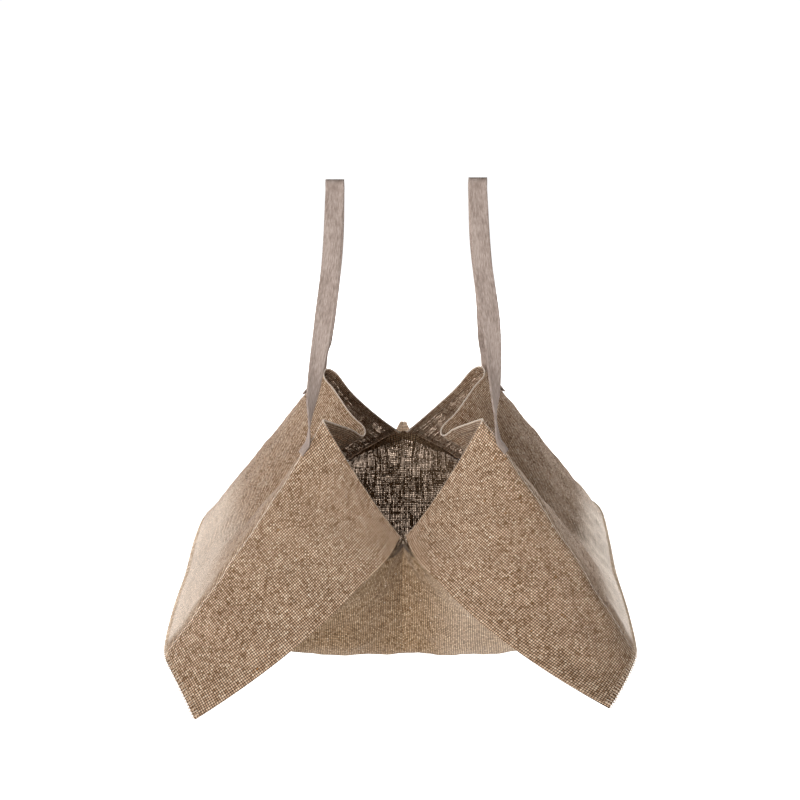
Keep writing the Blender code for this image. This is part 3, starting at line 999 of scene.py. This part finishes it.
@dataclass
class StrapLoop:
    """One tape loop, sewn behind the front and back ridges of its flap.

    The shares place its ends along the ridges, the starts place its edge from the ridge line, and
    gather is how much of the front end's width is left.
    """

    side: Side
    shape: FlapShape
    finish: Material
    width: float = 20.0
    thick: float = 1.8
    front_shares: tuple[float, ...] = (0.135, 0.115, 0.09)
    back_shares: tuple[float, ...] = (0.09, 0.13, 0.165)
    front_start: float = -3.0
    back_start: float = -1.5
    sewn_gap: float = 0.8
    gather: float = 0.38
    columns: int = 13
    step: float = 2.5

    def sewn_row(self, ridge: float, share: float) -> Array:
        """Returns the points across a sewn end; the right loop's back end is turned over.

        Args:
            ridge: The place of its ridge.
            share: Where along the ridge.
        """
        column = np.linspace(0, 1, self.columns)
        if self.side is Side.RIGHT and ridge == BACK_RIDGE:
            column = column[::-1]
        is_front = ridge == FRONT_RIDGE
        start = self.front_start if is_front else self.back_start
        width = self.width * (self.gather if is_front else 1.0)
        place = ridge + (start + width * column) * PLACE_PER_MM
        shares = np.full_like(place, share)
        lift = SEAM_GAP + CLOTH_THICK + self.sewn_gap + self.thick / 2
        return self.shape.point(place, shares) + self.shape.normal(place, shares) * lift

    def free_row(self, knot: StrapKnot) -> Array:
        """Returns the points across the tape at a knot, from its left edge."""
        middle, turn = np.array(knot.middle, float), math.radians(knot.turn)
        if self.side is Side.RIGHT:
            middle = middle * (-1, 1, 1) + np.array(knot.right, float)
            turn = math.radians(knot.turn_right)
        to_left = np.array((-math.cos(turn), -math.sin(turn), 0.0))
        reach = to_left * self.width * knot.gather / 2
        return middle + reach * np.linspace(1, -1, self.columns)[:, None]

    def build(self) -> Item:
        rows = [self.sewn_row(FRONT_RIDGE, share) for share in self.front_shares]
        rows += [self.free_row(knot) for knot in STRAP_KNOTS]
        rows += [self.sewn_row(BACK_RIDGE, share) for share in self.back_shares]
        net = np.array(rows).transpose(1, 0, 2)
        knots = run_lengths(net[self.columns // 2])
        places = np.linspace(0, knots[-1], int(knots[-1] / self.step))
        grid = np.stack([hermite(knots, column, places) for column in net], axis=1)
        u, v = np.meshgrid(np.linspace(0, self.width, self.columns), places)
        cloth = np.stack((u, v), axis=-1) * MM
        name = f"{self.side.name.lower()}_strap_tape"
        item = cloth_grid(name, grid, {"cloth": cloth}, self.finish)
        thicken(item, self.thick)
        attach(item, "root")
        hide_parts(f"{self.side.name.lower()}_strap")
        return item


@dataclass
class Overcast:
    """The overcast stitches that join a flap to the base along a side edge."""

    side: Side
    flap: FlapShape
    base: BaseShape
    finish: Material
    pitch: float = 3.6
    reach: float = 5.5
    radius: float = 0.42
    clearance: float = 0.4

    def build(self) -> Item:
        """Builds and dresses the row of stitches."""
        fine = np.linspace(1.5, PANEL_DEPTH - 1.5, 400)
        run = run_lengths(self.flap.edge_at(fine))
        count = int(run[-1] / self.pitch)
        depths = np.interp(np.linspace(0, run[-1], count), run, fine)
        edge = self.flap.edge_at(depths)
        place = self.flap.edge_place(depths)
        share_in = np.ones_like(place) - self.reach / FLAP_WIDTH
        flap_in = self.flap.point(place, share_in)
        flap_up = self.flap.normal(place, share_in)
        base_across = share_in * self.side.value
        base_in = self.base.point(base_across, depths)
        base_up = self.base.normal(base_across, depths)
        out = unit(unit(edge - flap_in) + unit(edge - base_in))
        lean = unit(np.gradient(edge, axis=0)) * self.pitch * 0.2
        face = SEAM_GAP + CLOTH_THICK + self.clearance
        base_face = CLOTH_THICK + self.clearance
        lap = np.maximum(0.0, 1.0 - np.minimum(place, PANELS - place) / PLACE_PER_MM / HEM_LAP)
        hem_lap = lap[:, None] * (CLOTH_THICK + SEAM_GAP)
        stops = (
            flap_in + flap_up * (face - 1.2 + hem_lap),
            flap_in + flap_up * (face + hem_lap) + lean * 0.3,
            (flap_in + edge) / 2 + flap_up * (face + hem_lap) + lean * 0.6,
            edge + flap_up * (face * 0.8 + hem_lap) + out * 1.0 + lean,
            edge + out * 1.8 + lean,
            edge + base_up * (CLOTH_THICK * 0.9) + out * 1.0 + lean,
            (base_in + edge) / 2 + base_up * base_face + lean * 0.5,
            base_in + base_up * base_face,
            base_in + base_up * 0.6,
        )
        paths = [np.array([stop[index] for stop in stops]) for index in range(count)]
        item = threads(f"{self.side.name.lower()}_edge_stitches", paths, self.radius, self.finish)
        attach(item, "root")
        return item


@dataclass
class BackTab:
    """The small turned-up tab behind the middle of the back hem, with a frayed top.

    low and high are its foot and top, halves its half widths there, and notch its top's dip.
    """

    finish: Material
    fray: Material
    low: float = 133.0
    high: float = 151.0
    half_low: float = 10.5
    half_high: float = 4.6
    front: float = 168.7
    notch: float = 1.2
    thick: float = 1.2
    tab_brightening: float = 0.35
    frays: int = 22

    def build(self) -> list[Item]:
        """Builds the folded tab and its frayed ends."""
        side, up = np.meshgrid(np.linspace(-1, 1, 17), np.linspace(0, 1, 13))
        taper = np.clip((up - 0.25) / 0.7, 0, 1)
        half = self.half_low + (self.half_high - self.half_low) * taper
        height = self.low + (self.high - self.low) * up - self.notch * up * (np.abs(side) < 0.12)
        bow = 0.7 * np.cos(side * math.pi) + 0.25 * np.sin(7 * side + 3 * up)
        points = np.stack((side * half, self.front + bow, height), axis=-1)
        cloth = np.stack((side * half + 40.0, height), axis=-1) * MM
        border = np.full_like(cloth, 0.03)
        # Painted light: the tab is paled in, as if well lit.
        painted_light = np.stack((np.ones_like(up), np.full_like(up, self.tab_brightening)), axis=-1)
        maps = {"cloth": cloth, "border": border, "painted_light": painted_light}
        tab = cloth_grid("back_tab_cloth", points, maps, self.finish)
        thicken(tab, self.thick)
        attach(tab, "root")
        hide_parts("back_tab")
        rng = np.random.default_rng(7)
        paths = []
        for x in np.linspace(-self.half_high, self.half_high, self.frays):
            top = self.high + rng.uniform(0.8, 2.8)
            drift = rng.uniform(-0.8, 0.8, 2)
            paths.append(np.array([
                (x, self.front, self.high - 1.5),
                (x + drift[0] * 0.4, self.front + drift[1] * 0.4, (self.high + top) / 2),
                (x + drift[0], self.front + drift[1], top),
            ]))
        ends = threads("back_tab_fray", paths, FRAY_RADIUS, self.fray, 4)
        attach(ends, "root")
        return [tab, ends]


@dataclass
class FrontTack:
    """The frayed thread ends and tack stitches where the flap corners meet at the front hem."""

    finish: Material
    stitches: Material
    tips: tuple[Point, ...] = ((-4.5, -125.5, 139.0), (4.0, -124.0, 141.0))
    frays: int = 14
    tack: Point = (0.0, -126.5, 136.0)
    levels: Point = (0.0, -1.1, -2.4)

    def build(self) -> list[Item]:
        """Builds the frayed tips and the tack stitches."""
        rng = np.random.default_rng(11)
        paths = []
        for tip in self.tips:
            for _ in range(self.frays):
                start = np.array(tip) + rng.uniform((-2.0, -0.6, -2.0), (2.0, 0.6, 0.0))
                lean = rng.uniform((-1.6, -1.2, 2.2), (1.6, 0.6, 4.6))
                bend = rng.uniform(-0.3, 0.3, 3)
                paths.append(np.array([start, start + lean * 0.5 + bend, start + lean]))
        ends = threads("front_tack_fray", paths, FRAY_RADIUS, self.finish, 4)
        rows = []
        for level in self.levels:
            half = 2.6 - level * 0.4
            inner = half * 0.6
            stops = ((-half, 1.6, 0.4), (-inner, -0.4, 0.3), (inner, -0.4, -0.3), (half, 1.6, -0.4))
            rows.append(np.array(self.tack) + (0.0, 0.0, level) + np.array(stops))
        tack = threads("front_tack_stitches", rows, 0.26, self.stitches)
        for item in (ends, tack):
            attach(item, "root")
        return [ends, tack]


@dataclass(frozen=True)
class Lamp:
    """A soft square light, with its place and its side length in metres and its power in watts."""

    name: str
    spot: Point
    size: float
    power: float


LAMPS = (
    Lamp("key", (-0.9, -2.6, 0.6), 1.4, 72.0),
    Lamp("fill", (1.5, -2.2, 0.9), 1.2, 7.0),
    Lamp("left", (-2.5, 0.2, 0.2), 1.0, 20.0),
    Lamp("wall_left", (-1.2, 2.3, 0.15), 1.6, 50.0),
    Lamp("wall_right", (0.9, 2.4, 0.15), 1.6, 80.0),
)


class Studio:
    """Pale floor, soft lights and the camera at the photograph's viewing angle."""

    ELEVATION = 22.0
    DISTANCE = 1430.0
    FOCAL_PIXELS = 0.875 * DISTANCE
    FRAME = 800.0
    FRAME_SHIFT = -3.0
    SENSOR = 36.0
    AIM = np.array((0.0, 0.0, 250.0))
    LAMP_AIM = np.array((0.073, -0.009, -0.38))
    FLOOR_HEIGHT = -0.95
    WHITE = (1.0, 1.0, 1.0, 1.0)

    def camera(self) -> None:
        """Adds the camera."""
        angle = math.radians(self.ELEVATION)
        way = np.array((0.0, math.cos(angle), -math.sin(angle)))
        data = bpy.data.cameras.new("camera")
        data.sensor_width = self.SENSOR
        data.lens = self.FOCAL_PIXELS * self.SENSOR / self.FRAME
        data.shift_x = self.FRAME_SHIFT / self.FRAME
        item = bpy.data.objects.new("camera", data)
        item.location = (self.AIM - way * self.DISTANCE - HANG_POINT) * MM
        item.rotation_euler = Euler((math.radians(90.0 - self.ELEVATION), 0.0, 0.0))
        bpy.context.scene.collection.objects.link(item)
        bpy.context.scene.camera = item

    def light(self, lamp: Lamp) -> None:
        """Adds a light that faces the bag."""
        data = bpy.data.lights.new(lamp.name, "AREA")
        data.size = lamp.size
        data.energy = lamp.power
        item = bpy.data.objects.new(lamp.name, data)
        item.location = lamp.spot
        x, y, z = self.LAMP_AIM - np.array(lamp.spot)
        tilt, turn = math.atan2(math.hypot(x, y), -z), math.atan2(y, x) - math.pi / 2
        item.rotation_euler = Euler((tilt, 0.0, turn))
        bpy.context.scene.collection.objects.link(item)

    def floor(self) -> None:
        """Adds the floor, well below the hanging bag."""
        bpy.ops.object.select_all(action="DESELECT")
        bpy.ops.mesh.primitive_plane_add(size=40.0, location=(0.0, 0.0, self.FLOOR_HEIGHT))
        item = bpy.context.active_object
        item.name = "floor"
        paper = NodeBook("floor_paper").surface(
            Base_Color=(0.6, 0.6, 0.6, 1.0), Roughness=0.95,
            Emission_Color=self.WHITE, Emission_Strength=0.97,
        )
        item.data.materials.append(paper)

    def build(self) -> None:
        """Builds the whole studio."""
        self.camera()
        self.floor()
        for lamp in LAMPS:
            self.light(lamp)
        world = bpy.data.worlds.new("studio")
        bpy.context.scene.world = world
        world.use_nodes = True
        back = world.node_tree.nodes["Background"]
        back.inputs["Color"].default_value = self.WHITE
        back.inputs["Strength"].default_value = 0.1
        bpy.context.scene.view_settings.view_transform = "Standard"


def report(items: Sequence[Item]) -> None:
    """Logs each finished piece."""
    for item in items:
        LOG.info("%s: %d faces", item.name, len(item.data.polygons))


def main() -> None:
    """Builds the classes in order."""
    logging.basicConfig(level=logging.INFO, format="%(name)s %(message)s")
    flaps = {side: FlapShape(side) for side in Side}
    base = BaseShape(flaps)
    flap_linen = LinenFinish("flap_linen").build()
    base_linen = LinenFinish(
        "base_linen", pitch_across=0.0022, dark=(104, 78, 52), middle=(152, 124, 95),
        light=(190, 164, 134), crown=1.33, openness=0.31, open_from=0.3, sway=0.45, clear=0.6,
        contact_shadow=0.6,
    ).build()
    # A lighter copy of the linen for the tab: painted light, for the light that the loops keep off it.
    lit_tab_linen = LinenFinish(
        "lit_tab_linen", pitch_across=0.0016, pitch_deep=0.0022, dark=(190, 160, 132),
        middle=(232, 208, 182), light=(250, 236, 218), sway=0.3, crown=1.75,
    ).build()
    tape = TapeFinish().build()
    thread = ThreadFinish().build()
    # Painted light: the outer wings are paled in, standing in for light through the cloth.
    painted_brightening = {Side.LEFT: PaintedBrightening(0.64, 0.56, 0.84), Side.RIGHT: PaintedBrightening(1.05, 0.7, 0.9)}
    report([FlapCloth(side, flaps[side], flap_linen, painted_brightening[side]).build() for side in Side])
    report([BaseCloth(base, base_linen).build()])
    report([StrapLoop(side, flaps[side], tape).build() for side in Side])
    report([Overcast(side, flaps[side], base, thread).build() for side in Side])
    report(BackTab(lit_tab_linen, thread).build())
    report(FrontTack(thread, thread).build())
    Studio().build()
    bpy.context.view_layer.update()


if __name__ == "__main__":
    main()
